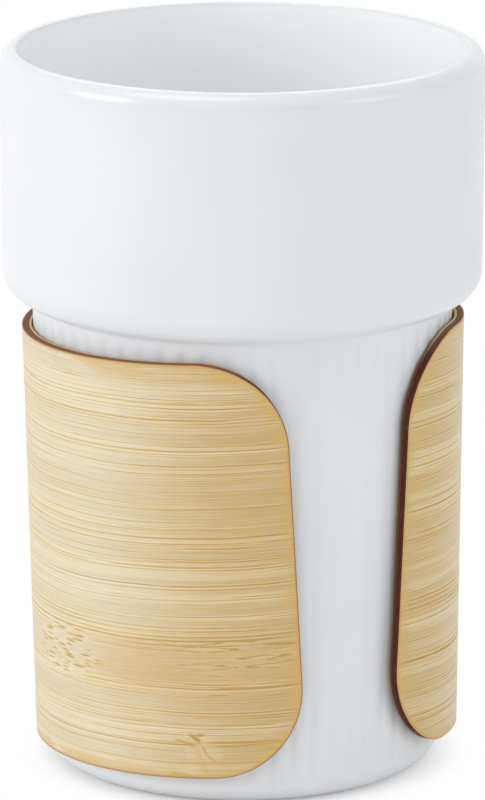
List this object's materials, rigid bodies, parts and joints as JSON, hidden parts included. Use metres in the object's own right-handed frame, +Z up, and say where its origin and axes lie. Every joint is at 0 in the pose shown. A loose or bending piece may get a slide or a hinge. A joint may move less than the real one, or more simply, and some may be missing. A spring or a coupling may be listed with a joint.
{
  "type": "tumbler with sleeve",
  "caption": "Porcelain tumbler with a wide plain band, a fluted tapering lower body and a bent bamboo sleeve that is open on one side.",
  "frame": {"origin": "middle of the foot, on the surface that the tumbler stands on", "axes": "+Z up through the mouth, -Y towards the open side of the sleeve, +X to the right of someone facing that side"},
  "size_m": [0.08, 0.08, 0.121],
  "materials": {
    "porcelain": "satin outside, gloss inside",
    "bamboo_outer": "satin",
    "bamboo_core": "matte, charred edge",
    "bamboo_inner": "matte"
  },
  "bodies": {
    "sleeve": {"sleeve_outer_veneer": "bamboo_outer", "sleeve_core": "bamboo_core", "sleeve_inner_veneer": "bamboo_inner"},
    "cup": {"cup_body": "porcelain"}
  },
  "joints": [
    {"name": "cup_lift", "type": "slide", "parent": "sleeve", "child": "cup", "axis": [0, 0, 1], "range_m": [0, 0.085]}
  ]
}
